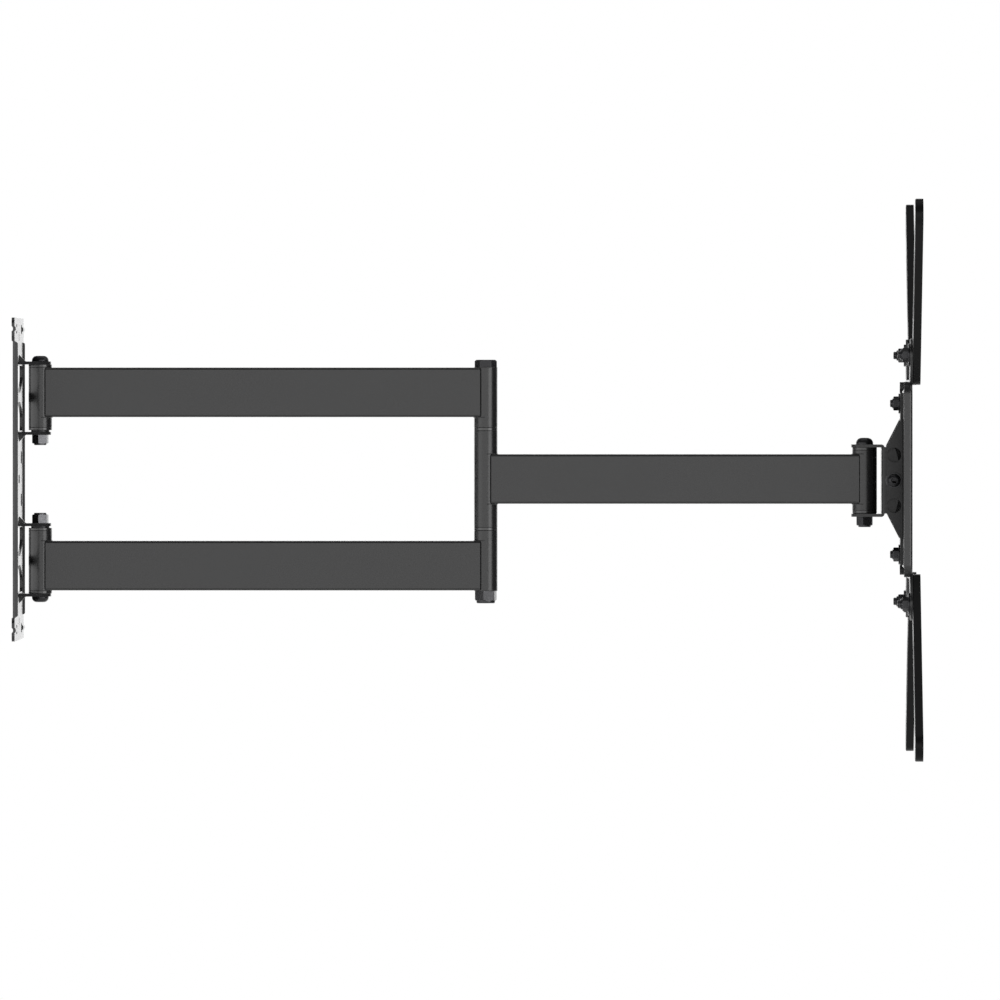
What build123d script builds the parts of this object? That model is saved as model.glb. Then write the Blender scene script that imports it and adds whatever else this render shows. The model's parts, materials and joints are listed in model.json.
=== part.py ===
from build123d import *
import math
import os

# Full-motion television wall mount, fully extended.
# Origin: centre of the wall plate's back face. +X points out of the wall, +Z is up. Millimetres.

os.makedirs("parts", exist_ok=True)

# ---------------------------------------------------------------- driving dimensions
# wall plate: a middle with bent side lips between two wider ends
plate_width = 220.0
plate_height = 260.0
sheet = 2.4                      # sheet steel of the wall plate and of both head brackets
plate_corner_radius = 5.0
middle_width = 174.0
middle_height = 222.0
wall_lip_depth = 4.3             # from the back face to the front of the side lips
wall_slot_spacing = (116.0, 242.0)   # centre to centre, across and up
wall_slot_length = 20.0
wall_hole_radius = 3.75
wall_hole_spacing = 230.0        # the two round holes on the centre line

# arms
wall_axis_x = 19.5               # swivel axis in front of the wall
arm_reach = 360.0                # wall axis to elbow axis
forearm_reach = 306.0            # elbow axis to head axis
arm_height = 70.0                # centre line of the upper arm tube; the lower one mirrors it
tube_width = 20.0
tube_height = 40.0
tube_wall = 1.5
tube_corner_radius = 2.0
tube_setback = 4.5               # hinge axis to the end of a tube

# hinges
barrel_radius = 9.5
barrel_length = 49.0
hub_height = 66.0                # centre of the upper wall barrel; the lower one mirrors it
head_barrel_radius = 10.0
hinge_bolt_radius = 4.0          # M8
elbow_bolt_radius = 5.0          # M10
running_clearance = 0.05         # radial, between a bolt and what turns on it
assembly_clearance = 0.02        # radial, between pieces that are pressed or welded together
face_clearance = 0.02            # between faces that turn past each other
bush_flange = 2.0
bush_wall = 1.95
bush_length = 15.0
bush_chamfer = 0.15
thrust_washer = 0.6              # under the swivel head
wall_washer = 1.4                # under each wall barrel

# swivel head and tilt
head_z = -1.0                    # the head sits a little below the forearm's centre line
clevis_half_width = 22.0
clevis_half_height = 26.8
clevis_web_offset = 13.5         # head axis to the clevis web
tilt_axis_offset = 23.5          # head axis to tilt axis
tilt_bolt_radius = 3.0           # M6
friction_washer = 1.1
friction_disc_radius = 7.0
tilt_cheek_rear = 5.7            # rear edge of the tilt cheeks behind the tilt axis
tilt_cheek_half_height = 27.2
tilt_cheek_root_half_height = 48.4
tilt_tab_top = 69.5
tilt_tab_half_width = 14.0
level_bolt_radius = 3.0          # M6
level_bolt_height = 61.0
level_angle = 3.0

# television plate
vesa_sheet = 2.0
vesa_width = 210.0
vesa_height = 160.0
pan_depth = 4.0
pan_half_width = 31.0
pan_half_height = 71.0
vesa_corner_radius = 12.0
vesa_lip_depth = 6.8
corner_bolt_half_spacing = 100.0
tab_radius = 13.0

# extension arms
tv_hole_half_spacing = 200.0     # 400 x 400 hole pattern at the arm ends
channel_width = 25.0
channel_depth = 6.5
channel_sheet = 2.0
channel_end = 16.3               # centre of a rounded end beyond the bolt or the end hole
tv_hole_radius = 4.25

# ---------------------------------------------------------------- worked-out positions
elbow_axis_x = wall_axis_x + arm_reach
head_axis_x = elbow_axis_x + forearm_reach
tilt_axis_x = head_axis_x + tilt_axis_offset
tilt_bracket_front = tilt_axis_x + 7.5
vesa_back = tilt_bracket_front + pan_depth          # back face of the plate round the pan
vesa_front = vesa_back + vesa_sheet
hub_stack = barrel_length / 2 + bush_flange + face_clearance
knuckle_top = hub_height + barrel_length / 2
knuckle_bottom = hub_height - barrel_length / 2
elbow_barrel_half = knuckle_bottom - face_clearance - 2.3
corner_bolt_reach = corner_bolt_half_spacing * math.sqrt(2)
tv_hole_reach = tv_hole_half_spacing * math.sqrt(2)
tilt_cheek_inner = clevis_half_width + friction_washer + face_clearance
tilt_cheek_outer = tilt_cheek_inner + sheet


def save(part, label):
    """Label a finished piece and write it as its own STEP file."""
    part.label = label
    export_step(part, f"parts/{label}.step")


def up(x, z):
    """Plane facing up, centred on a vertical axis."""
    return Plane(origin=(x, 0, z), x_dir=(1, 0, 0), z_dir=(0, 0, 1))


def down(x, z):
    """Plane facing down, centred on a vertical axis."""
    return Plane(origin=(x, 0, z), x_dir=(1, 0, 0), z_dir=(0, 0, -1))


def towards_wall(x, y=0.0, z=0.0):
    """Plane facing the wall."""
    return Plane(origin=(x, y, z), x_dir=(0, 1, 0), z_dir=(-1, 0, 0))


def towards_room(x, y=0.0, z=0.0):
    """Plane facing the television."""
    return Plane(origin=(x, y, z), x_dir=(0, 1, 0), z_dir=(1, 0, 0))


def sideways(y, side, x, z):
    """Plane facing sideways, on the tilt axis."""
    return Plane(origin=(x, y, z), x_dir=(1, 0, 0), z_dir=(0, side, 0))


# ---------------------------------------------------------------- standard hardware
# Each one stands on a seat plane whose normal points away from what it is tightened against.
FROM_SEAT = (Align.CENTER, Align.CENTER, Align.MIN)
INTO_SEAT = (Align.CENTER, Align.CENTER, Align.MAX)


def along(seat):
    return Axis(seat.origin, seat.z_dir)


def dome_bolt(seat, head_radius, head_height, shank_radius, shank_length, socket):
    """Dome-head bolt with a hexagon socket."""
    with BuildPart(seat) as bolt:
        Cylinder(head_radius, head_height, align=FROM_SEAT)
        fillet(bolt.edges().group_by(along(seat))[-1], head_height * 0.85)
        with BuildSketch(seat.offset(head_height)):
            RegularPolygon(socket / 2, 6, major_radius=False)
        extrude(amount=-head_height * 0.6, mode=Mode.SUBTRACT)
        Cylinder(shank_radius, shank_length, align=INTO_SEAT)
        chamfer(bolt.edges().group_by(along(seat))[0], shank_radius / 6)
    return bolt.part


def hex_bolt(seat, across_flats, head_height, shank_radius, shank_length):
    """Hexagon-head bolt with chamfered corners."""
    with BuildPart(seat) as bolt:
        Cylinder(across_flats / 2 * 1.12, head_height, align=FROM_SEAT)
        chamfer(bolt.edges().group_by(along(seat))[-1], across_flats / 14)
        with BuildSketch(seat):
            RegularPolygon(across_flats / 2, 6, major_radius=False)
        extrude(amount=head_height, mode=Mode.INTERSECT)
        Cylinder(shank_radius, shank_length, align=INTO_SEAT)
        chamfer(bolt.edges().group_by(along(seat))[0], shank_radius / 6)
    return bolt.part


def lock_nut(seat, across_flats, hex_height, collar_radius, collar_height, shank_radius, turn=0.0):
    """Self-locking nut: a chamfered hexagon with a round collar for its nylon ring."""
    with BuildPart(seat) as nut:
        Cylinder(across_flats / 2 * 1.14, hex_height, align=FROM_SEAT)
        chamfer(nut.edges().group_by(along(seat))[-1], across_flats / 20)
        with BuildSketch(seat):
            RegularPolygon(across_flats / 2, 6, major_radius=False, rotation=turn)
        extrude(amount=hex_height, mode=Mode.INTERSECT)
        with BuildSketch(seat.offset(hex_height)):
            Circle(collar_radius)
        extrude(amount=collar_height)
        fillet(nut.edges().group_by(along(seat))[-1], collar_height * 0.5)
        Cylinder(
            shank_radius + running_clearance,
            hex_height + collar_height,
            align=FROM_SEAT,
            mode=Mode.SUBTRACT,
        )
    return nut.part


def ring(seat, outer_radius, inner_radius, thickness):
    """Washer, spacer or plain tube."""
    with BuildPart(seat) as washer:
        with BuildSketch(seat):
            Circle(outer_radius)
            Circle(inner_radius, mode=Mode.SUBTRACT)
        extrude(amount=thickness)
    return washer.part


def flanged_bush(seat, flange_radius, bolt_radius, flange_thickness):
    """Plastic bush: a flange on the barrel's end and a sleeve inside it."""
    bore_radius = bolt_radius + running_clearance
    with BuildPart(seat) as bush:
        with BuildSketch(seat):
            Circle(flange_radius)
        extrude(amount=flange_thickness)
        chamfer(bush.edges().group_by(along(seat))[-1], bush_chamfer)
        Cylinder(bore_radius + bush_wall, bush_length, align=INTO_SEAT)
        with BuildSketch(seat.offset(flange_thickness)):
            Circle(bore_radius)
        extrude(amount=-flange_thickness - bush_length, mode=Mode.SUBTRACT)
    return bush.part


def bushed_barrel(x, bottom, length, outer_radius, bolt_radius):
    """Hinge barrel bored to take a bush at each end."""
    bore_radius = bolt_radius + running_clearance + bush_wall + assembly_clearance
    return ring(up(x, bottom), outer_radius, bore_radius, length)


def bush_pair(x, bottom, length, flange_radius, bolt_radius, flange_thickness):
    """The two bushes of one barrel, flanges outwards."""
    upper = flanged_bush(up(x, bottom + length), flange_radius, bolt_radius, flange_thickness)
    lower = flanged_bush(down(x, bottom), flange_radius, bolt_radius, flange_thickness)
    return Compound(children=[upper, lower])


def box_tube(start_x, end_x, z, start_barrel, end_barrel):
    """Box tube between two hinge barrels, its ends coped round them."""
    with BuildPart() as tube:
        with BuildSketch(Plane.YZ.offset(start_x + tube_setback)):
            with Locations((0, z)):
                RectangleRounded(tube_width, tube_height, tube_corner_radius)
                RectangleRounded(
                    tube_width - 2 * tube_wall,
                    tube_height - 2 * tube_wall,
                    tube_corner_radius - tube_wall / 2,
                    mode=Mode.SUBTRACT,
                )
        extrude(amount=end_x - start_x - 2 * tube_setback)
        for axis_x, radius in ((start_x, start_barrel), (end_x, end_barrel)):
            with Locations((axis_x, 0, z)):
                Cylinder(radius + assembly_clearance, 2 * tube_height, mode=Mode.SUBTRACT)
    return tube.part


# ---------------------------------------------------------------- wall plate
bend_radius = 2.6                # outside radius of every bend in the thick sheet
lip_relief = 0.5                 # gap between the end of a lip and the wide end beside it
ear_tip_radius = 8.8
ear_root_half_width = 26.0
gusset_size = 5.6
gusset_thickness = 5.0
window_half_width = 80.0
window_clearance = 1.0           # from a window's straight edge to the ear beside it
bridge_half_height = 3.8         # the strip between the two windows of one hinge, at its middle
bridge_half_width = 28.0
bead_radius = 2.6                # stiffening beads pressed forward from the slots to the edges
bead_height = 1.1
bead_start = 72.0
outer_ear_z = hub_height + hub_stack                       # the face next to the barrel
inner_ear_z = hub_height - hub_stack - wall_washer


def window_outline(straight_z, bridge_z):
    """Window between an ear and the bridge: straight along the ear, flaring away from the bridge."""
    away = 1 if straight_z > bridge_z else -1
    Polyline(
        (-window_half_width, straight_z),
        (window_half_width, straight_z),
        (window_half_width, bridge_z + away * 10.5),
        (window_half_width * 0.78, bridge_z + away * 5.5),
        (bridge_half_width, bridge_z),
        (-bridge_half_width, bridge_z),
        (-window_half_width * 0.78, bridge_z + away * 5.5),
        (-window_half_width, bridge_z + away * 10.5),
        close=True,
    )


with BuildPart() as wall_plate:
    # middle, its side lips bent forward
    with BuildSketch(Plane.XY.offset(-middle_height / 2 + lip_relief)) as channel:
        with Locations((wall_lip_depth / 2, 0)):
            Rectangle(wall_lip_depth, middle_width)
        fillet(channel.vertices().group_by(Axis.X)[0], bend_radius)
        with Locations((sheet + wall_lip_depth / 2, 0)):
            Rectangle(wall_lip_depth, middle_width - 2 * sheet, mode=Mode.SUBTRACT)
    extrude(amount=middle_height - 2 * lip_relief)
    lip_ends = wall_plate.edges().filter_by(Axis.Y).group_by(Axis.X)[-1]
    fillet(lip_ends, (wall_lip_depth - sheet) * 0.9)
    # flat blank
    with BuildSketch(Plane.YZ) as blank:
        Rectangle(middle_width - 2 * bend_radius, middle_height)
        with GridLocations(0, (plate_height + middle_height) / 2, 1, 2):
            RectangleRounded(plate_width, (plate_height - middle_height) / 2, plate_corner_radius)
    extrude(amount=sheet)
    # beads, raised on the front and hollow at the back
    for side_y in (-1, 1):
        for side_z in (-1, 1):
            bead_z = side_z * wall_slot_spacing[1] / 2
            with BuildSketch(Plane.XZ.offset(-side_y * bead_start)):
                with Locations((sheet + bead_height - bead_radius, bead_z)):
                    Circle(bead_radius)
                with Locations((-bead_radius, bead_z)):
                    Rectangle(2 * bead_radius, 2 * bead_radius, mode=Mode.SUBTRACT)
            extrude(amount=-side_y * (plate_width / 2 - bead_start))
            with BuildSketch(Plane.XZ.offset(-side_y * (bead_start - sheet))):
                with Locations((bead_height - bead_radius, bead_z)):
                    Circle(bead_radius)
            extrude(amount=-side_y * (plate_width / 2 - bead_start + 2 * sheet), mode=Mode.SUBTRACT)
    # slots for the wall screws and small openings in the middle
    with BuildSketch(Plane.YZ):
        with GridLocations(*wall_slot_spacing, 2, 2):
            SlotOverall(wall_slot_length, 2 * wall_hole_radius)
        with GridLocations(0, wall_hole_spacing, 1, 2):
            Circle(wall_hole_radius)
        SlotOverall(26, 6.6)
        with GridLocations(106, 34.6, 2, 2):
            SlotOverall(26, 10)
    extrude(amount=sheet, mode=Mode.SUBTRACT)
    # windows beside the ears
    for side in (-1, 1):
        for straight_z, bridge_z in (
            (outer_ear_z - window_clearance, hub_height + bridge_half_height),
            (inner_ear_z + window_clearance, hub_height - bridge_half_height),
        ):
            with BuildSketch(Plane.YZ) as window:
                with BuildLine():
                    window_outline(side * straight_z, side * bridge_z)
                make_face()
                fillet(window.vertices(), 3.5)
            extrude(amount=sheet, mode=Mode.SUBTRACT)

    # ears for the two wall hinges, each with a gusset on its outer side
    for side in (-1, 1):
        for face_z, outwards in ((outer_ear_z, 1), (inner_ear_z, -1)):
            with BuildSketch(Plane.XY.offset(side * face_z)):
                with Locations((wall_axis_x, 0)):
                    Circle(ear_tip_radius)
                with Locations((sheet / 2, 0)):
                    Rectangle(sheet, 2 * ear_root_half_width)
                make_hull()
                with Locations((wall_axis_x, 0)):
                    Circle(hinge_bolt_radius + running_clearance, mode=Mode.SUBTRACT)
            extrude(amount=side * outwards * sheet)
            root_z = side * (face_z + outwards * sheet)
            tip_z = root_z + side * outwards * gusset_size
            with BuildSketch(Plane.XZ):
                with BuildLine():
                    Polyline((sheet, root_z), (sheet + gusset_size, root_z), (sheet, tip_z), close=True)
                make_face()
            extrude(amount=gusset_thickness / 2, both=True)
save(wall_plate.part, "wall_plate")

# ---------------------------------------------------------------- wall hinges
small_nut_height = 8.2           # M8 lock nut, small series
thread_recess = 0.4              # how far a hinge bolt's end stays inside its nut
nut_turn = 18.0


def small_nut(seat, turn):
    """M8 lock nut, small series: 12 mm across flats."""
    return lock_nut(seat, 12.0, small_nut_height - 1.2, 5.1, 1.2, hinge_bolt_radius, turn)


for name, side in (("upper", 1), ("lower", -1)):
    outside = up if side == 1 else down
    inside = down if side == 1 else up
    bolt_seat = outside(wall_axis_x, side * (outer_ear_z + sheet))
    nut_seat = inside(wall_axis_x, side * (inner_ear_z - sheet))
    shank = outer_ear_z - inner_ear_z + 2 * sheet + small_nut_height - thread_recess
    save(dome_bolt(bolt_seat, 6.8, 4.6, hinge_bolt_radius, shank, 5.0), f"{name}_hinge_bolt")
    save(small_nut(nut_seat, -side * nut_turn), f"{name}_hinge_nut")
    washer_seat = outside(wall_axis_x, side * inner_ear_z)
    save(
        ring(washer_seat, 7.5, hinge_bolt_radius + running_clearance, wall_washer),
        f"{name}_hinge_washer",
    )

# ---------------------------------------------------------------- arm pair
for name, side in (("upper", 1), ("lower", -1)):
    barrel_bottom = min(side * knuckle_bottom, side * knuckle_top)
    save(
        bushed_barrel(wall_axis_x, barrel_bottom, barrel_length, barrel_radius, hinge_bolt_radius),
        f"{name}_wall_barrel",
    )
    save(
        bush_pair(wall_axis_x, barrel_bottom, barrel_length, barrel_radius, hinge_bolt_radius, bush_flange),
        f"{name}_wall_bushes",
    )
    save(
        box_tube(wall_axis_x, elbow_axis_x, side * arm_height, barrel_radius, barrel_radius),
        f"{name}_arm_tube",
    )
    save(
        ring(
            up(elbow_axis_x, barrel_bottom), barrel_radius, elbow_bolt_radius + running_clearance, barrel_length
        ),
        f"{name}_elbow_barrel",
    )

elbow_head_height = 5.8
elbow_nut_height = 9.8
elbow_collar_height = 2.1
elbow_shank = 2 * knuckle_top + elbow_nut_height - thread_recess
save(
    hex_bolt(up(elbow_axis_x, knuckle_top), 16.0, elbow_head_height, elbow_bolt_radius, elbow_shank),
    "elbow_bolt",
)
save(
    lock_nut(
        down(elbow_axis_x, -knuckle_top),
        16.0,
        elbow_nut_height - elbow_collar_height,
        7.6,
        elbow_collar_height,
        elbow_bolt_radius,
        -nut_turn,
    ),
    "elbow_nut",
)

# ---------------------------------------------------------------- forearm
elbow_flange = knuckle_bottom - face_clearance - elbow_barrel_half
save(
    bushed_barrel(elbow_axis_x, -elbow_barrel_half, 2 * elbow_barrel_half, barrel_radius, elbow_bolt_radius),
    "forearm_elbow_barrel",
)
save(
    bush_pair(
        elbow_axis_x, -elbow_barrel_half, 2 * elbow_barrel_half, barrel_radius, elbow_bolt_radius, elbow_flange
    ),
    "elbow_bushes",
)
save(box_tube(elbow_axis_x, head_axis_x, 0.0, barrel_radius, head_barrel_radius), "forearm_tube")
head_barrel_bottom = head_z - barrel_length / 2
save(
    bushed_barrel(head_axis_x, head_barrel_bottom, barrel_length, head_barrel_radius, hinge_bolt_radius),
    "forearm_head_barrel",
)
save(
    bush_pair(
        head_axis_x, head_barrel_bottom, barrel_length, head_barrel_radius, hinge_bolt_radius, bush_flange
    ),
    "head_bushes",
)

# ---------------------------------------------------------------- swivel head
head_top_ear_z = head_z + hub_stack
head_bottom_ear_z = head_z - hub_stack - thrust_washer
clevis_web_x = head_axis_x + clevis_web_offset
clevis_ear_tip_radius = 10.8
clevis_ear_root_half_width = 18.0
nose_reach = 5.2                 # how far the cheeks reach in front of the tilt axis
nose_half_height = 10.0
nose_corner_reach = 0.8

with BuildPart() as head_clevis:
    # web
    with BuildSketch(Plane.YZ.offset(clevis_web_x)):
        with Locations((0, head_z)):
            Rectangle(2 * clevis_half_width, 2 * clevis_half_height)
        with Locations((0, (head_top_ear_z + head_bottom_ear_z) / 2)):
            Rectangle(2 * clevis_ear_root_half_width, head_top_ear_z - head_bottom_ear_z + 2 * sheet)
    extrude(amount=sheet)
    # hinge ears
    for ear_bottom in (head_top_ear_z, head_bottom_ear_z - sheet):
        with BuildSketch(Plane.XY.offset(ear_bottom)):
            with Locations((head_axis_x, 0)):
                Circle(clevis_ear_tip_radius)
            with Locations((clevis_web_x + sheet / 2, 0)):
                Rectangle(sheet, 2 * clevis_ear_root_half_width)
            make_hull()
            with Locations((head_axis_x, 0)):
                Circle(hinge_bolt_radius + running_clearance, mode=Mode.SUBTRACT)
        extrude(amount=sheet)
    # cheeks that carry the tilt bolt, cut back above and below so that the plate can tilt
    for side in (-1, 1):
        with BuildSketch(Plane.XZ.offset(side * clevis_half_width)) as cheek:
            with BuildLine():
                Polyline(
                    (clevis_web_x, head_z + clevis_half_height),
                    (tilt_axis_x + nose_corner_reach, head_z + clevis_half_height),
                    (tilt_axis_x + nose_reach, head_z + nose_half_height),
                    (tilt_axis_x + nose_reach, head_z - nose_half_height),
                    (tilt_axis_x + nose_corner_reach, head_z - clevis_half_height),
                    (clevis_web_x, head_z - clevis_half_height),
                    close=True,
                )
            make_face()
            fillet(cheek.vertices().filter_by(lambda v: v.X > tilt_axis_x), 4.0)
            with Locations((tilt_axis_x, head_z)):
                Circle(tilt_bolt_radius + running_clearance, mode=Mode.SUBTRACT)
        extrude(amount=-side * sheet)
    # outside radii of the bends: web to ears and web to cheeks
    web_edges = head_clevis.edges()
    ear_bends = web_edges.filter_by(Axis.Y).filter_by(
        lambda e: abs(e.center().X - clevis_web_x - sheet) < 0.01 and abs(e.center().Z - head_z) > clevis_half_height
    )
    cheek_bends = web_edges.filter_by(Axis.Z).filter_by(
        lambda e: abs(e.center().X - clevis_web_x) < 0.01 and abs(abs(e.center().Y) - clevis_half_width) < 0.01
    )
    fillet(ear_bends + cheek_bends, bend_radius)
save(head_clevis.part, "head_clevis")

head_shank = head_top_ear_z - head_bottom_ear_z + 2 * sheet + small_nut_height - thread_recess
save(
    dome_bolt(up(head_axis_x, head_top_ear_z + sheet), 7.0, 5.4, hinge_bolt_radius, head_shank, 5.0),
    "head_hinge_bolt",
)
save(small_nut(down(head_axis_x, head_bottom_ear_z - sheet), -nut_turn), "head_hinge_nut")
save(
    ring(
        up(head_axis_x, head_bottom_ear_z),
        head_barrel_radius - 0.4,
        hinge_bolt_radius + running_clearance,
        thrust_washer,
    ),
    "head_hinge_washer",
)
friction_discs = [
    ring(
        sideways(side * clevis_half_width, side, tilt_axis_x, head_z),
        friction_disc_radius,
        tilt_bolt_radius + running_clearance,
        friction_washer,
    )
    for side in (-1, 1)
]
save(Compound(children=friction_discs), "tilt_friction_washers")

# ---------------------------------------------------------------- tilt bracket
tab_root = 34.0                  # the web starts here, above and below the clevis nose
access_hole_height = 20.4
access_hole_radius = 5.8
bolt_head_side = 1               # the cheek under the tilt bolt's head has two access holes
bracket_bend_radius = 0.8        # outside radius where the cheeks turn into the web

with BuildPart() as tilt_bracket:
    for side in (-1, 1):
        with BuildSketch(Plane.XZ.offset(side * tilt_cheek_outer)) as cheek:
            with BuildLine():
                Polyline(
                    (tilt_axis_x - tilt_cheek_rear, tilt_cheek_half_height),
                    (tilt_bracket_front - sheet, tilt_cheek_root_half_height),
                    (tilt_bracket_front, tilt_cheek_root_half_height),
                    (tilt_bracket_front, -tilt_cheek_root_half_height),
                    (tilt_bracket_front - sheet, -tilt_cheek_root_half_height),
                    (tilt_axis_x - tilt_cheek_rear, -tilt_cheek_half_height),
                    close=True,
                )
            make_face()
            fillet(cheek.vertices().group_by(Axis.X)[0], 1.5)
            with Locations((tilt_axis_x, head_z)):
                Circle(tilt_bolt_radius + running_clearance, mode=Mode.SUBTRACT)
            if side == bolt_head_side:
                with Locations((tilt_axis_x, head_z)):
                    with GridLocations(0, 2 * access_hole_height, 1, 2):
                        Circle(access_hole_radius, mode=Mode.SUBTRACT)
        extrude(amount=-side * sheet)
    # web above and below the nose, each with a rounded tab for a levelling bolt
    for side in (-1, 1):
        with BuildSketch(Plane.YZ.offset(tilt_bracket_front - sheet)) as web:
            with Locations((0, side * (tab_root + tilt_cheek_root_half_height) / 2)):
                Rectangle(2 * tilt_cheek_outer, tilt_cheek_root_half_height - tab_root)
            with Locations((0, side * (tab_root + tilt_tab_top) / 2)):
                Rectangle(2 * tilt_tab_half_width, tilt_tab_top - tab_root)
            fillet(web.vertices().filter_by(lambda v: abs(v.Z) > tilt_tab_top - 1), 6.0)
            with Locations((0, side * level_bolt_height)):
                Circle(level_bolt_radius + running_clearance, mode=Mode.SUBTRACT)
        extrude(amount=sheet)
    bracket_bends = tilt_bracket.edges().filter_by(Axis.Z).filter_by(
        lambda e: abs(e.center().X - tilt_bracket_front) < 0.01
        and abs(abs(e.center().Y) - tilt_cheek_outer) < 0.01
    )
    fillet(bracket_bends, bracket_bend_radius)
save(tilt_bracket.part, "tilt_bracket")

tilt_washer = 1.2
tilt_nut_height = 6.0
near_seat = sideways(-tilt_cheek_outer - tilt_washer, -1, tilt_axis_x, head_z)
far_seat = sideways(tilt_cheek_outer + tilt_washer, 1, tilt_axis_x, head_z)
tilt_shank = 2 * (tilt_cheek_outer + tilt_washer) + tilt_nut_height + 1.0
save(dome_bolt(near_seat, 5.25, 3.3, tilt_bolt_radius, tilt_shank, 4.0), "tilt_bolt")
save(lock_nut(far_seat, 10.0, 4.5, 4.2, 1.5, tilt_bolt_radius), "tilt_nut")
tilt_washers = [
    ring(
        sideways(side * tilt_cheek_outer, side, tilt_axis_x, head_z),
        6.4,
        tilt_bolt_radius + running_clearance,
        tilt_washer,
    )
    for side in (-1, 1)
]
save(Compound(children=tilt_washers), "tilt_washers")

# levelling bolts: heads in the plate's pan, nuts on the wall side
level_washer = 1.2
level_nut_height = 5.0
pan_front = tilt_bracket_front + vesa_sheet
level_heights = (-level_bolt_height, level_bolt_height)
level_bolt_end = 1.8             # how far a levelling bolt stands out of its nut
level_grip = pan_front + face_clearance - tilt_bracket_front + sheet
level_shank = level_grip + level_washer + level_nut_height + level_bolt_end
level_bolts = [
    dome_bolt(towards_room(pan_front + face_clearance, 0, z), 6.5, 2.8, level_bolt_radius, level_shank, 4.0)
    for z in level_heights
]
save(Compound(children=level_bolts), "level_bolts")
level_washers = [
    ring(
        towards_wall(tilt_bracket_front - sheet, 0, z), 8.0, level_bolt_radius + running_clearance, level_washer
    )
    for z in level_heights
]
save(Compound(children=level_washers), "level_washers")
level_nuts = [
    lock_nut(
        towards_wall(tilt_bracket_front - sheet - level_washer, 0, z), 10.0, 4.2, 4.0, 0.8, level_bolt_radius, 30.0
    )
    for z in level_heights
]
save(Compound(children=level_nuts), "level_nuts")

# ---------------------------------------------------------------- television plate
pan_slope = 5.0                  # how much the pan narrows from its mouth to its floor
vesa_100_radius = 2.3
corner_tab_inner_reach = 106.0
adjust_slot_inner_reach = 113.0
arc_slot_half_angle = level_angle + 0.4
level_slot_radius = level_bolt_radius + 0.3
corner_centre_y = vesa_width / 2 - vesa_corner_radius
corner_centre_z = vesa_height / 2 - vesa_corner_radius
lip_corner_arc = 60.0            # how far round each corner a side lip is carried, in degrees


def side_lip_section(side):
    """Section of a side lip with its bend and the strip of plate beside it."""
    lip_middle = side * (vesa_width - vesa_sheet) / 2
    with BuildSketch(mode=Mode.PRIVATE) as section:
        with Locations((vesa_front - vesa_lip_depth / 2, lip_middle)):
            Rectangle(vesa_lip_depth, vesa_sheet)
        with Locations((vesa_front - vesa_sheet / 2, side * (corner_centre_y + vesa_corner_radius / 2))):
            Rectangle(vesa_sheet, vesa_corner_radius)
        outer_corner = section.vertices().sort_by(lambda v: v.X + side * v.Y)[-1]
        fillet(outer_corner, bend_radius)
    return section.sketch


with BuildPart() as vesa_plate:
    with BuildSketch(Plane.YZ.offset(vesa_back)):
        Rectangle(2 * corner_centre_y, vesa_height)
        with PolarLocations((corner_tab_inner_reach + corner_bolt_reach) / 2, 4, 45):
            SlotCenterToCenter(corner_bolt_reach - corner_tab_inner_reach, 2 * tab_radius)
    extrude(amount=vesa_sheet)
    # raised pan that bolts to the tilt bracket
    for start, depth, inset, mode in (
        (vesa_front, pan_depth + vesa_sheet, 0.0, Mode.ADD),
        (vesa_front, pan_depth, vesa_sheet, Mode.SUBTRACT),
    ):
        with BuildSketch(towards_wall(start)):
            RectangleRounded(
                2 * (pan_half_width + pan_slope - inset), 2 * (pan_half_height + pan_slope - inset), 10
            )
        with BuildSketch(towards_wall(start - depth)):
            RectangleRounded(2 * (pan_half_width - inset), 2 * (pan_half_height - inset), 8)
        loft(mode=mode)
    # side lips, bent towards the wall and carried part of the way round each corner
    for side in (-1, 1):
        with BuildSketch(Plane.XY.offset(-corner_centre_z)):
            add(side_lip_section(side))
        extrude(amount=2 * corner_centre_z)
        for end in (-1, 1):
            with BuildSketch(Plane.XY.offset(end * corner_centre_z)):
                add(side_lip_section(side))
            corner_axis = Axis((0, side * corner_centre_y, end * corner_centre_z), (side * end, 0, 0))
            revolve(axis=corner_axis, revolution_arc=lip_corner_arc)
    # holes: a 100 x 100 pattern, a slot along each corner tab, and the two curved levelling slots
    with BuildSketch(Plane.YZ.offset(vesa_front)):
        with GridLocations(100, 100, 2, 2):
            Circle(vesa_100_radius)
        with PolarLocations((adjust_slot_inner_reach + corner_bolt_reach) / 2, 4, 45):
            SlotCenterToCenter(corner_bolt_reach - adjust_slot_inner_reach, 6.6)
        for middle in (90, 270):
            slot_arc = Edge.make_circle(
                level_bolt_height,
                start_angle=middle - arc_slot_half_angle,
                end_angle=middle + arc_slot_half_angle,
            )
            SlotArc(slot_arc, 2 * level_slot_radius)
    extrude(amount=-pan_depth - 2 * vesa_sheet, mode=Mode.SUBTRACT)
save(vesa_plate.part, "vesa_plate")

# ---------------------------------------------------------------- extension arms
# Pressed channels, their open side towards the television. Left and right are as seen from the room.
arm_angles = {"upper_right": 45, "upper_left": 135, "lower_left": 225, "lower_right": 315}
channel_start = corner_bolt_reach - channel_end
channel_stop = tv_hole_reach + channel_end
adjust_slot_start = corner_bolt_reach + 46.0
adjust_slot_stop = corner_bolt_reach + 112.0
arm_bolt_hole_radius = 3.05
channel_back = vesa_front + face_clearance
arm_bolt_seat = channel_back + channel_sheet + face_clearance

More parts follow.
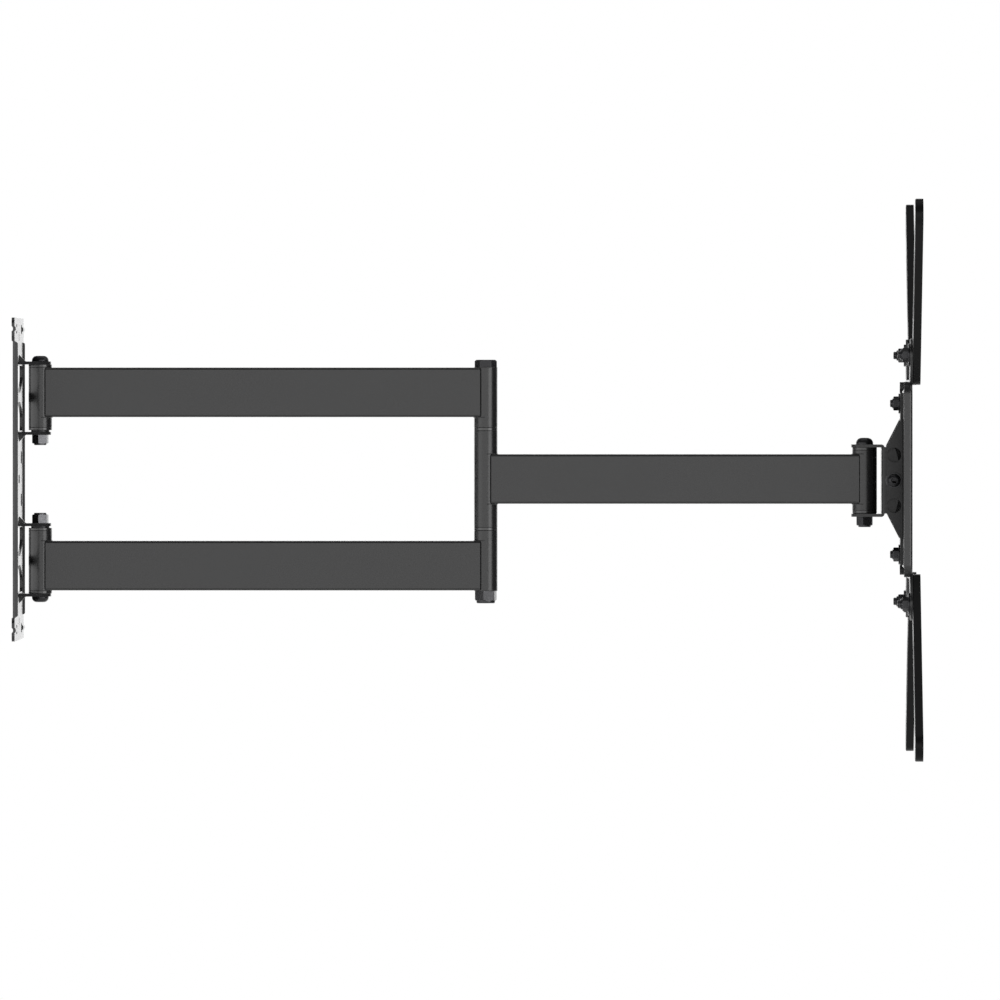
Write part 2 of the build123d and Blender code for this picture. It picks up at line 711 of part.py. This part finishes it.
for name, angle in arm_angles.items():
    direction = (0, math.cos(math.radians(angle)), math.sin(math.radians(angle)))
    web_back = Plane(origin=(channel_back, 0, 0), x_dir=direction, z_dir=(1, 0, 0))
    with BuildPart() as extension_arm:
        with BuildSketch(web_back):
            with Locations(((channel_start + channel_stop) / 2, 0)):
                SlotCenterToCenter(channel_stop - channel_start, channel_width)
        extrude(amount=channel_depth)
        chamfer(extension_arm.edges().group_by(Axis.X)[0], 0.6)
        with BuildSketch(web_back.offset(channel_sheet)):
            with Locations(((channel_start + channel_stop) / 2, 0)):
                SlotCenterToCenter(channel_stop - channel_start, channel_width - 2 * channel_sheet)
        extrude(amount=channel_depth, mode=Mode.SUBTRACT)
        with BuildSketch(web_back):
            with Locations((corner_bolt_reach, 0)):
                Circle(arm_bolt_hole_radius)
            with Locations((tv_hole_reach, 0)):
                Circle(tv_hole_radius)
            with Locations(((adjust_slot_start + adjust_slot_stop) / 2, 0)):
                SlotCenterToCenter(adjust_slot_stop - adjust_slot_start, 2 * tv_hole_radius)
        extrude(amount=channel_sheet, mode=Mode.SUBTRACT)
    save(extension_arm.part, f"extension_arm_{name}")

# what clamps the arms: heads in the channels, washers and nuts on the wall side
arm_washer = 1.6
arm_nut_height = 6.0
corners = [
    (side_y * corner_bolt_half_spacing, side_z * corner_bolt_half_spacing)
    for side_y in (-1, 1)
    for side_z in (-1, 1)
]
arm_bolt_end = 2.4               # how far an arm bolt stands out of its nut
arm_shank = arm_bolt_seat - vesa_back + arm_washer + arm_nut_height + arm_bolt_end
arm_bolts = [
    dome_bolt(towards_room(arm_bolt_seat, y, z), 5.25, 3.3, 3.0, arm_shank, 4.0)
    for y, z in corners
]
arm_washers = [ring(towards_wall(vesa_back, y, z), 9.0, 3.05, arm_washer) for y, z in corners]
arm_nuts = [
    lock_nut(towards_wall(vesa_back - arm_washer, y, z), 10.0, 4.5, 4.2, 1.5, 3.0, 30.0) for y, z in corners
]
save(Compound(children=arm_bolts), "arm_bolts")
save(Compound(children=arm_washers), "arm_washers")
save(Compound(children=arm_nuts), "arm_nuts")
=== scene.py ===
import bpy
import bmesh
import json
import math
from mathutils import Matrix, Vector


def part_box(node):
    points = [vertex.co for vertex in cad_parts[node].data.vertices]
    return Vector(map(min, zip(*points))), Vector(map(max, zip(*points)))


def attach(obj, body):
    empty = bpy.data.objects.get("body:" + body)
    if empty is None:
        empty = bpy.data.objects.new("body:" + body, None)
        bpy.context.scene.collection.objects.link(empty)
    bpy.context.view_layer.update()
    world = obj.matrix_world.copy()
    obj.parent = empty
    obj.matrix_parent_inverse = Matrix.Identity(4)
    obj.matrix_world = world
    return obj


# Looks of the television wall mount: powder-coated steel, black plated hardware, plastic bushes.
# Metres throughout, in the CAD frame: +X out of the wall, +Z up.

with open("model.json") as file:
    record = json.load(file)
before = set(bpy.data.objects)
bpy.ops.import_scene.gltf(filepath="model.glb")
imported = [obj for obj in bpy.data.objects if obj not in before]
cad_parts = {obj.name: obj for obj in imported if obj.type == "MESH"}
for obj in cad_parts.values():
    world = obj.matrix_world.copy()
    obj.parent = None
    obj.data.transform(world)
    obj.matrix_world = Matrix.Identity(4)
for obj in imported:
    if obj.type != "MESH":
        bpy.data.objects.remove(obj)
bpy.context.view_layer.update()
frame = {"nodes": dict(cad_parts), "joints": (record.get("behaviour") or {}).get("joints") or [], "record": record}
nodes = frame["nodes"]
joints = {joint["name"]: joint for joint in frame["joints"]}
slot_of = {part["node"]: part["material_slot"] for part in frame["record"]["subparts"]}

MM = 0.001


# ---------------------------------------------------------------- material tools
class NodeTree:
    """A material being built: its principled shader and short ways to add nodes."""

    def __init__(self, name):
        self.material = bpy.data.materials.new(name)
        self.material.use_nodes = True
        self.nodes = self.material.node_tree.nodes
        self.links = self.material.node_tree.links
        self.shader = self.nodes["Principled BSDF"]
        self.place = self.add("ShaderNodeTexCoord").outputs["Object"]

    def add(self, kind, **inputs):
        node = self.nodes.new(kind)
        for name, value in inputs.items():
            node.inputs[name.replace("_", " ")].default_value = value
        return node

    def link(self, output, node_input):
        self.links.new(output, node_input)

    def noise(self, scale, detail=2.0, stretch=(1.0, 1.0, 1.0)):
        """Noise in the object's own metres; scale is in features per metre."""
        mapping = self.add("ShaderNodeMapping")
        mapping.inputs["Scale"].default_value = stretch
        self.link(self.place, mapping.inputs["Vector"])
        texture = self.add("ShaderNodeTexNoise", Scale=scale, Detail=detail)
        self.link(mapping.outputs["Vector"], texture.inputs["Vector"])
        return texture.outputs["Fac"]

    def remap(self, value, from_low, from_high, to_low, to_high):
        node = self.add("ShaderNodeMapRange")
        node.inputs["From Min"].default_value = from_low
        node.inputs["From Max"].default_value = from_high
        node.inputs["To Min"].default_value = to_low
        node.inputs["To Max"].default_value = to_high
        self.link(value, node.inputs["Value"])
        return node.outputs["Result"]

    def multiply(self, first, second):
        node = self.add("ShaderNodeMath")
        node.operation = "MULTIPLY"
        self.link(first, node.inputs[0])
        self.link(second, node.inputs[1])
        return node.outputs["Value"]

    def mix(self, factor, first, second):
        """Mix two colours; each is a colour socket or a plain RGB triple."""
        node = self.add("ShaderNodeMix")
        node.data_type = "RGBA"
        self.link(factor, node.inputs["Factor"])
        for socket, colour in ((node.inputs[6], first), (node.inputs[7], second)):
            if isinstance(colour, tuple):
                socket.default_value = (*colour, 1.0)
            else:
                self.link(colour, socket)
        return node.outputs[2]

    def edges(self, radius):
        """1 on sharp edges within the radius, 0 on open surfaces.

        It compares the true normal with one that is averaged over the radius.
        """
        rounded = self.add("ShaderNodeBevel", Radius=radius)
        rounded.samples = 4
        true_normal = self.add("ShaderNodeNewGeometry").outputs["Normal"]
        likeness = self.add("ShaderNodeVectorMath")
        likeness.operation = "DOT_PRODUCT"
        self.link(rounded.outputs["Normal"], likeness.inputs[0])
        self.link(true_normal, likeness.inputs[1])
        flat_likeness, edge_likeness = 0.98, 0.80
        return self.remap(likeness.outputs["Value"], flat_likeness, edge_likeness, 0.0, 1.0)

    def vary_roughness(self, pattern, lowest, highest):
        """Let the gloss follow a noise pattern between two roughness values."""
        self.link(self.remap(pattern, 0.3, 0.7, lowest, highest), self.shader.inputs["Roughness"])

    def cloudy(self, pattern, colour, spread):
        """Colour that a noise pattern makes darker and lighter by the spread."""
        darker = tuple(c * (1 - spread) for c in colour)
        lighter = tuple(c * (1 + spread) for c in colour)
        return self.mix(pattern, darker, lighter)

    def bump(self, height, distance, strength):
        node = self.add("ShaderNodeBump", Strength=strength, Distance=distance)
        self.link(height, node.inputs["Height"])
        self.link(node.outputs["Normal"], self.shader.inputs["Normal"])


def powder_coat(name, colour, wear_colour, roughness, specular):
    """Satin powder coat: fine orange peel, cloudy tone, thin coat rubbed lighter along the edges."""
    tree = NodeTree(name)
    tone = tree.cloudy(tree.noise(38.0, 3.0), colour, 0.14)
    rubbed = tree.multiply(tree.edges(0.7 * MM), tree.remap(tree.noise(160.0, 4.0), 0.42, 0.68, 0.0, 0.75))
    tree.link(tree.mix(rubbed, tone, wear_colour), tree.shader.inputs["Base Color"])
    tree.vary_roughness(tree.noise(1500.0, 2.0), roughness - 0.05, roughness + 0.05)
    tree.shader.inputs["Specular IOR Level"].default_value = specular
    peel = tree.noise(950.0, 3.0)
    tree.bump(peel, 0.05 * MM, 0.35)
    return tree.material


def plated_steel(name, colour, wear_colour, roughness, metallic):
    """Black zinc plate: a slightly streaky metal, worn brighter along its sharp edges."""
    tree = NodeTree(name)
    tone = tree.cloudy(tree.noise(260.0, 4.0, (1.0, 1.0, 3.0)), colour, 0.3)
    rubbed = tree.multiply(tree.edges(0.5 * MM), tree.remap(tree.noise(420.0, 3.0), 0.35, 0.65, 0.1, 0.8))
    tree.link(tree.mix(rubbed, tone, wear_colour), tree.shader.inputs["Base Color"])
    tree.shader.inputs["Metallic"].default_value = metallic
    grain = tree.noise(1800.0, 2.0)
    tree.vary_roughness(grain, roughness - 0.07, roughness + 0.09)
    tree.bump(grain, 0.02 * MM, 0.3)
    return tree.material


def moulded_plastic(name, colour, roughness, specular):
    """Moulded plastic with a fine matt texture."""
    tree = NodeTree(name)
    tree.link(tree.cloudy(tree.noise(90.0, 2.0), colour, 0.2), tree.shader.inputs["Base Color"])
    stipple = tree.noise(2200.0, 2.0)
    tree.vary_roughness(stipple, roughness - 0.06, roughness + 0.06)
    tree.shader.inputs["Specular IOR Level"].default_value = specular
    tree.bump(stipple, 0.03 * MM, 0.4)
    return tree.material


WORN_COAT = (0.050, 0.050, 0.052)
WORN_PLATE = (0.20, 0.20, 0.21)
materials = {
    "wall_steel": powder_coat("wall_powder_coat", (0.011, 0.011, 0.012), WORN_COAT, 0.28, 0.50),
    "arm_steel": powder_coat("arm_powder_coat", (0.008, 0.008, 0.0084), WORN_COAT, 0.29, 0.52),
    "head_steel": powder_coat("head_powder_coat", (0.010, 0.010, 0.0105), WORN_COAT, 0.34, 0.35),
    "plate_steel": powder_coat("plate_powder_coat", (0.011, 0.011, 0.0115), WORN_COAT, 0.30, 0.50),
    "channel_steel": powder_coat("channel_powder_coat", (0.004, 0.004, 0.0042), WORN_COAT, 0.34, 0.10),
    "black_hardware": plated_steel("black_zinc", (0.016, 0.016, 0.018), WORN_PLATE, 0.30, 0.50),
    "nut_steel": plated_steel("nut_black_zinc", (0.095, 0.095, 0.10), WORN_PLATE, 0.26, 0.90),
    "bush_plastic": moulded_plastic("bush_plastic", (0.010, 0.010, 0.0105), 0.24, 0.66),
}
nylon = moulded_plastic("nylon_ring", (0.10, 0.105, 0.11), 0.40, 0.50)
# nuts that are blacker than the bright ones under the wall hinges
dark_nuts = {
    "elbow_nut": plated_steel("elbow_nut_black_zinc", (0.040, 0.040, 0.042), WORN_PLATE, 0.28, 0.90),
    "head_hinge_nut": materials["black_hardware"],
    "tilt_nut": materials["black_hardware"],
    "level_nuts": materials["black_hardware"],
    "arm_nuts": materials["black_hardware"],
}


# ---------------------------------------------------------------- CAD nodes: finish and soft edges
EDGE_RADIUS = {
    "wall_steel": 0.35 * MM,
    "arm_steel": 0.45 * MM,
    "head_steel": 0.40 * MM,
    "plate_steel": 0.35 * MM,
    "channel_steel": 0.35 * MM,
    "black_hardware": 0.18 * MM,
    "nut_steel": 0.18 * MM,
    "bush_plastic": 0.15 * MM,
}


MERGE_DISTANCE = 0.002 * MM
FLAT_ANGLE = math.radians(0.5)       # faces within this angle become one flat face
SHARP_ANGLE = math.radians(32)       # edges over this angle are rounded


def soften_edges(piece, radius):
    """Round the sharp edges of a CAD node with modifiers, leaving its mesh as it is."""
    weld = piece.modifiers.new("weld", "WELD")
    weld.merge_threshold = MERGE_DISTANCE
    flat = piece.modifiers.new("flat_faces", "DECIMATE")
    flat.decimate_type = "DISSOLVE"
    flat.angle_limit = FLAT_ANGLE
    flat.delimit = {"NORMAL"}
    bevel = piece.modifiers.new("rounded_edges", "BEVEL")
    bevel.width = radius
    bevel.segments = 2
    bevel.limit_method = "ANGLE"
    bevel.angle_limit = SHARP_ANGLE
    bevel.harden_normals = False
    shading = piece.modifiers.new("shading", "WEIGHTED_NORMAL")
    shading.keep_sharp = False
    shading.weight = 60
    triangles = piece.modifiers.new("triangles", "TRIANGULATE")
    triangles.keep_custom_normals = True


for name, node in nodes.items():
    node.data.materials.clear()
    node.data.materials.append(dark_nuts.get(name, materials[slot_of[name]]))
    soften_edges(node, EDGE_RADIUS[slot_of[name]])


# ---------------------------------------------------------------- small pieces that CAD leaves plain
def tube_along(shape, rings, close_path=False):
    """Skin a row of closed rings of points, with end caps unless the path closes on itself."""
    rows = [[shape.verts.new(point) for point in ring] for ring in rings]
    pairs = list(zip(rows, rows[1:]))
    if close_path:
        pairs.append((rows[-1], rows[0]))
    for first, second in pairs:
        count = len(first)
        for i in range(count):
            j = (i + 1) % count
            shape.faces.new((first[i], first[j], second[j], second[i]))
    if not close_path:
        shape.faces.new(list(reversed(rows[0])))
        shape.faces.new(rows[-1])


def finish_piece(shape, name, body, material):
    """Turn the built mesh into a piece that rides on a body and wears a finish."""
    bmesh.ops.recalc_face_normals(shape, faces=shape.faces)
    mesh = bpy.data.meshes.new(name)
    shape.to_mesh(mesh)
    shape.free()
    mesh.shade_smooth()
    piece = bpy.data.objects.new(name, mesh)
    bpy.context.scene.collection.objects.link(piece)
    piece.data.materials.append(material)
    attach(piece, body)


def across(direction):
    """Two unit vectors square to a direction, for circles round it."""
    side = direction.orthogonal().normalized()
    return side, direction.cross(side)


def round_ring(shape, centre, direction, outer, inner, rise, steps=48):
    """Flat ring with a softly raised face: the end of a nut's nylon insert."""
    side, other = across(direction)
    middle = (outer + inner) / 2
    sunk = -0.3 * MM                 # the ring's sides reach below the nut's face
    profile = [
        (inner, sunk),
        (inner, rise * 0.4),
        ((inner + middle) / 2, rise * 0.9),
        (middle, rise),
        ((outer + middle) / 2, rise * 0.9),
        (outer, rise * 0.4),
        (outer, sunk),
    ]
    rings = []
    for step in range(steps):
        angle = 2 * math.pi * step / steps
        spoke = side * math.cos(angle) + other * math.sin(angle)
        rings.append([centre + spoke * radius + direction * height for radius, height in profile])
    tube_along(shape, rings, close_path=True)


def thread(shape, tip, direction, radius, pitch, length, steps=30):
    """Helical thread ridge round the end of a bolt, from its tip back along the shank."""
    side, other = across(direction)
    crest = radius + 0.14 * pitch
    root = radius - 0.05 * MM
    root_half = 0.42 * pitch         # half the ridge's width along the bolt, at its root and at its crest
    crest_half = 0.06 * pitch
    first_turn = 0.6                 # in pitches from the tip
    rings = []
    count = int(steps * length / pitch)
    for step in range(count + 1):
        angle = 2 * math.pi * step / steps
        spoke = side * math.cos(angle) + other * math.sin(angle)
        fade = min(1.0, step / steps * 2, (count - step) / steps * 2)
        top = root + (crest - root) * fade
        base = tip - direction * (pitch * (step / steps + first_turn))
        rings.append(
            [
                base + spoke * root + direction * root_half,
                base + spoke * top + direction * crest_half,
                base + spoke * top - direction * crest_half,
                base + spoke * root - direction * root_half,
            ]
        )
    tube_along(shape, rings)


BEAD_SIZE = 0.55 * MM
BEAD_SINK = 0.1 * MM                 # how far a bead reaches into the tube and the barrel
BEAD_HALF_SWEEP = 84.0               # degrees round the barrel, either side of the tube's middle
BEAD_STEPS = 60
BEAD_SIDES = 5                       # flats across a bead's rounded face


def weld_bead(shape, axis_x, radius, height, facing, outward):
    """Coated fillet weld where a tube's flat top or bottom meets a hinge barrel."""
    rings = []
    for step in range(BEAD_STEPS + 1):
        turn = math.radians(-BEAD_HALF_SWEEP + 2 * BEAD_HALF_SWEEP * step / BEAD_STEPS)
        spoke = Vector((facing * math.cos(turn), math.sin(turn), 0.0))
        rippled_size = BEAD_SIZE * (1.0 + 0.12 * math.sin(step * 2.1))
        corner = Vector((axis_x, 0.0, height)) + spoke * (radius - BEAD_SINK)
        ring = []
        for k in range(BEAD_SIDES + 1):
            swing = math.radians(90.0 * k / BEAD_SIDES)
            ring.append(
                corner
                + spoke * (rippled_size * math.cos(swing) + BEAD_SINK)
                + Vector((0.0, 0.0, outward * rippled_size * math.sin(swing)))
            )
        ring.append(corner - Vector((0.0, 0.0, outward * BEAD_SINK)))
        rings.append(ring)
    tube_along(shape, rings)


UP = Vector((0.0, 0.0, 1.0))
INTO_WALL = Vector((-1.0, 0.0, 0.0))
FAR_SIDE = Vector((0.0, 1.0, 0.0))


def middle_of(node):
    low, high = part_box(node)
    return (low + high) / 2


def end_of(node, direction):
    """Centre of a node's box pushed to its face in that direction."""
    low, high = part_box(node)
    half = (high - low) / 2
    return (low + high) / 2 + Vector([half[i] * direction[i] for i in range(3)])


# nylon inserts, seen in the end of every lock nut
M6_BOLT = 3.0 * MM                   # shank radii
M8_BOLT = 4.0 * MM
M10_BOLT = 5.0 * MM
COLLAR_RIM = 0.35 * MM               # steel left round an insert
BOLT_GAP = 0.03 * MM
INSERT_RISE = 0.12 * MM
for node, body, direction, bolt, collar in (
    ("upper_hinge_nut", "wall_plate", -UP, M8_BOLT, 5.1 * MM),
    ("lower_hinge_nut", "wall_plate", UP, M8_BOLT, 5.1 * MM),
    ("elbow_nut", "arm_pair", -UP, M10_BOLT, 7.6 * MM),
    ("head_hinge_nut", "swivel_head", -UP, M8_BOLT, 5.1 * MM),
    ("tilt_nut", "tilt_bracket", FAR_SIDE, M6_BOLT, 4.2 * MM),
):
    insert = bmesh.new()
    face_centre = end_of(node, direction)
    round_ring(insert, face_centre, direction, collar - COLLAR_RIM, bolt + BOLT_GAP, INSERT_RISE)
    finish_piece(insert, f"{node}_insert", body, nylon)

# threads on the bolt ends that stand out of their nuts
arm_joints = [joint for name, joint in joints.items() if name.startswith("arm_")]
arm_bolt_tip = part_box("arm_bolts")[0].x
arm_ends = [Vector((arm_bolt_tip, joint["pos_m"][1], joint["pos_m"][2])) for joint in arm_joints]
level_middle = middle_of("level_nuts")
LEVEL_BOLT_HEIGHT = 61.0 * MM        # above and below the plate's centre
level_ends = [
    Vector((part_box("level_bolts")[0].x, level_middle.y, side * LEVEL_BOLT_HEIGHT)) for side in (-1, 1)
]
M6_PITCH = 1.0 * MM
for name, body, ends, length in (
    ("arm_bolt_threads", "tv_plate", arm_ends, 2.2 * MM),
    ("level_bolt_threads", "tilt_bracket", level_ends, 1.6 * MM),
):
    threads = bmesh.new()
    for end in ends:
        thread(threads, end, INTO_WALL, M6_BOLT, M6_PITCH, length)
    finish_piece(threads, name, body, materials["black_hardware"])

# weld beads
wall_axis = joints["wall_swivel"]["pos_m"][0]
elbow_axis = joints["elbow"]["pos_m"][0]
head_axis = joints["head_swivel"]["pos_m"][0]
for name, body, tube, ends, sides in (
    ("upper_arm_welds", "arm_pair", "upper_arm_tube", (wall_axis, elbow_axis), (-1,)),
    ("lower_arm_welds", "arm_pair", "lower_arm_tube", (wall_axis, elbow_axis), (1,)),
    ("forearm_welds", "forearm", "forearm_tube", (elbow_axis, head_axis), (-1, 1)),
):
    low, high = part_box(tube)
    beads = bmesh.new()
    for axis_x, facing in zip(ends, (1, -1)):
        barrel = "forearm_head_barrel" if axis_x == head_axis else "upper_wall_barrel"
        radius = (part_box(barrel)[1].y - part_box(barrel)[0].y) / 2
        for side in sides:
            weld_bead(beads, axis_x, radius, high.z if side == 1 else low.z, facing, side)
    finish_piece(beads, name, body, materials["arm_steel"])


# ---------------------------------------------------------------- camera, floor and light
FRAME_WIDTH = 0.808                  # how much of the mount's plane the picture spans
CAMERA_DISTANCE = 14.0
SENSOR_WIDTH = 36.0                  # millimetres, as is the lens
AIM = Vector((0.391, 0.0, -0.017))
EYE = Vector((0.472, -CAMERA_DISTANCE, 0.064))
FLOOR = Vector((AIM.x, 0.0, -0.60))
FLOOR_SIZE = 5.2
LIGHT_DISTANCE = 4.5


def add_camera():
    """Long lens from the side, a little above the mount's middle."""
    data = bpy.data.cameras.new("camera")
    data.sensor_width = SENSOR_WIDTH
    data.lens = SENSOR_WIDTH * CAMERA_DISTANCE / FRAME_WIDTH
    data.clip_end = 100.0
    camera = bpy.data.objects.new("camera", data)
    camera.location = EYE
    camera.rotation_euler = (AIM - EYE).to_track_quat("-Z", "Y").to_euler()
    bpy.context.scene.collection.objects.link(camera)
    bpy.context.scene.camera = camera


def add_panel(name, place, width, height, radiance, aim=AIM):
    """Soft studio light: a rectangle of even brightness that faces the mount, or another place."""
    data = bpy.data.lights.new(name, "AREA")
    data.shape = "RECTANGLE"
    data.size = width
    data.size_y = height
    data.energy = radiance * math.pi * width * height
    panel = bpy.data.objects.new(name, data)
    panel.location = place
    panel.rotation_euler = (aim - place).to_track_quat("-Z", "Y").to_euler()
    panel.visible_camera = False
    bpy.context.scene.collection.objects.link(panel)


def add_side_panel(name, start, end, rise, radiance):
    """Upright panel, seen from the mount between two directions and up to a rise above and below level.

    All in degrees; a direction is measured from the camera's side towards +X.
    """
    middle = math.radians((start + end) / 2)
    place = AIM + LIGHT_DISTANCE * Vector((math.sin(middle), -math.cos(middle), 0.0))
    width = 2 * LIGHT_DISTANCE * math.tan(math.radians((end - start) / 2))
    height = 2 * LIGHT_DISTANCE * math.tan(math.radians(rise))
    add_panel(name, place, width, height, radiance)


def add_floor():
    """Plain pale floor, well below the mount."""
    mesh = bpy.data.meshes.new("floor")
    shape = bmesh.new()
    bmesh.ops.create_grid(shape, x_segments=24, y_segments=24, size=FLOOR_SIZE / 2)
    shape.to_mesh(mesh)
    shape.free()
    floor = bpy.data.objects.new("floor", mesh)
    floor.location = FLOOR
    bpy.context.scene.collection.objects.link(floor)
    tree = NodeTree("pale_floor")
    tone = tree.mix(tree.noise(1.2, 3.0), (0.78, 0.78, 0.77), (0.84, 0.84, 0.835))
    tree.link(tone, tree.shader.inputs["Base Color"])
    tree.shader.inputs["Roughness"].default_value = 0.8
    floor.data.materials.append(tree.material)


def add_world():
    """White to the camera, dim grey to the surfaces, so that the panels shape them."""
    world = bpy.data.worlds.new("studio")
    bpy.context.scene.world = world
    world.use_nodes = True
    tree = world.node_tree
    surround = tree.nodes["Background"]
    surround.inputs["Color"].default_value = (1.0, 1.0, 1.0, 1.0)
    surround.inputs["Strength"].default_value = 0.08
    white = tree.nodes.new("ShaderNodeBackground")
    white.inputs["Color"].default_value = (1.0, 1.0, 1.0, 1.0)
    white.inputs["Strength"].default_value = 1.0
    rays = tree.nodes.new("ShaderNodeLightPath")
    mix = tree.nodes.new("ShaderNodeMixShader")
    tree.links.new(rays.outputs["Is Camera Ray"], mix.inputs["Fac"])
    tree.links.new(surround.outputs["Background"], mix.inputs[1])
    tree.links.new(white.outputs["Background"], mix.inputs[2])
    tree.links.new(mix.outputs["Shader"], tree.nodes["World Output"].inputs["Surface"])


add_camera()
add_floor()
add_world()
for name, start, end, rise, radiance in (
    ("left_panel", -106, -36, 16.5, 2.05),
    ("front_panel", -36, 22, 17.5, 1.70),
    ("right_panel", 26, 60, 17.5, 3.75),
    ("back_panel", 140, 220, 28.0, 1.75),
):
    add_side_panel(name, start, end, rise, radiance)
add_panel("top_panel", AIM + Vector((0.0, 0.0, 2.6)), 2.6, 2.2, 0.7)
add_panel("room_panel", AIM + Vector((2.3, 0.0, 1.8)), 2.4, 1.2, 1.5)
add_panel("floor_panel", FLOOR + Vector((0.0, 0.0, 0.1)), FLOOR_SIZE, FLOOR_SIZE, 0.60, FLOOR)
bpy.context.scene.view_settings.view_transform = "Standard"
